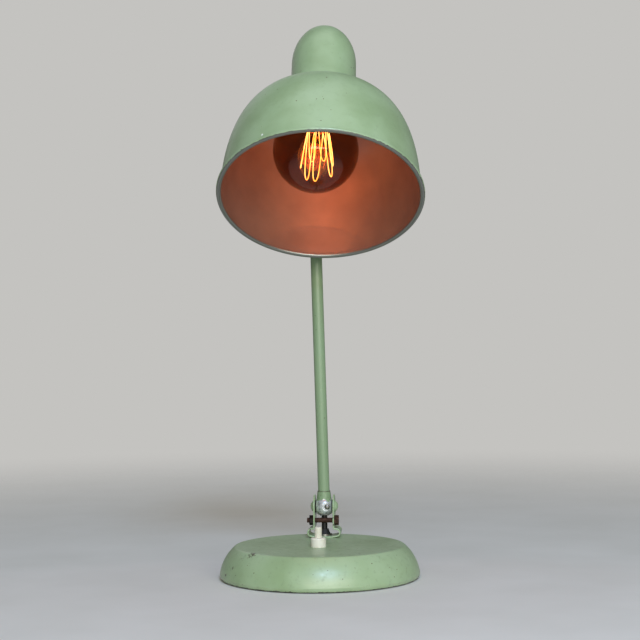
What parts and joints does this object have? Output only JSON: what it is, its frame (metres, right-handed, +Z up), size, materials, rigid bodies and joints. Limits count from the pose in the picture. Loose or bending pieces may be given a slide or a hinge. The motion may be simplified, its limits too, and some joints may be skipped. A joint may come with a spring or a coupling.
{
  "type": "desk lamp",
  "caption": "Adjustable desk lamp: round weighted base, upright tube arm in a lyre bracket, spun dome shade with a wired rim, push switch and globe bulb.",
  "frame": {"origin": "centre of the round base on the table", "axes": "+Z up, the shade and the switch face -Y, +X to the right seen from the front"},
  "size_m": [0.211, 0.2559, 0.5572],
  "materials": {
    "mint_enamel": "semi-gloss stove enamel, chipped at the edges",
    "grey_iron": "rough cast",
    "plain_steel": "dull zinc",
    "rusty_steel": "brown rust",
    "dark_steel": "dark oxide",
    "bare_aluminium": "cast, worn smooth",
    "lamp_brass": "satin",
    "pad_rubber": "matt",
    "black_rubber": "matt",
    "black_lead": "smooth sheath",
    "black_fibre": "pressed fibre",
    "brown_bakelite": "moulded, dull gloss",
    "ivory_plastic": "moulded, satin",
    "smoked_glass": "blown, amber tint",
    "clear_glass": "drawn rod",
    "black_glass": "glass insulator",
    "glowing_carbon": "lit filament"
  },
  "bodies": {
    "base": {"base_shell": "mint_enamel", "base_weight": "grey_iron", "base_cover": "plain_steel", "base_pad": "pad_rubber", "base_studs": "plain_steel", "stud_nuts": "plain_steel", "inlet_bush": "black_rubber", "switch_body": "brown_bakelite", "switch_collar": "ivory_plastic", "switch_spring": "plain_steel", "joint_bracket": "mint_enamel", "bracket_pipe": "plain_steel", "bracket_nut": "plain_steel", "lead_bush": "black_rubber", "foot_lead": "black_lead", "tie_bolt": "rusty_steel", "tie_nut": "dark_steel", "pivot_screws": "mint_enamel", "pivot_washers": "black_fibre"},
    "switch_button": {"switch_plunger": "ivory_plastic"},
    "arm": {"lower_knuckle": "bare_aluminium", "knuckle_plug": "plain_steel", "arm_tube": "mint_enamel", "arm_lead": "black_lead", "arm_disc": "mint_enamel", "friction_ring": "black_fibre", "pivot_bolt": "plain_steel", "wing_washer": "plain_steel"},
    "wing": {"wing_nut": "bare_aluminium"},
    "shade": {"shade_disc": "mint_enamel", "neck_saddle": "mint_enamel", "stem_nut": "plain_steel", "holder_bridge": "plain_steel", "shade_lead": "black_lead", "shade_dome": "mint_enamel", "rim_wire": "plain_steel", "neck_cup": "mint_enamel", "neck_screws": "plain_steel", "lampholder": "brown_bakelite", "holder_screw": "plain_steel", "screw_shell": "lamp_brass", "centre_contact": "lamp_brass", "bulb_glass": "smoked_glass", "bulb_cap": "lamp_brass", "cap_insulator": "black_glass", "cap_tip": "plain_steel", "filament_mount": "clear_glass", "filament": "glowing_carbon"}
  },
  "joints": [
    {"name": "arm_tilt", "type": "hinge", "parent": "base", "child": "arm", "pos_m": [0, 0.061, 0.064], "axis": [0.9998, 0, 0.0209], "range_deg": [-30, 45]},
    {"name": "shade_tilt", "type": "hinge", "parent": "arm", "child": "shade", "pos_m": [-0.00859, 0.061, 0.47391], "axis": [0.9998, 0, 0.0209], "range_deg": [-60, 8]},
    {"name": "wing_nut_turn", "type": "hinge", "parent": "arm", "child": "wing", "pos_m": [-0.00859, 0.061, 0.47391], "axis": [-0.9998, 0, -0.0209], "range_deg": [0, 180]},
    {"name": "switch_press", "type": "slide", "parent": "base", "child": "switch_button", "axis": [0, 0, -1], "range_m": [0, 0.0025], "stiffness_N_per_m": 300, "springref_m": -0.003, "deforming": ["switch_spring"]}
  ]
}
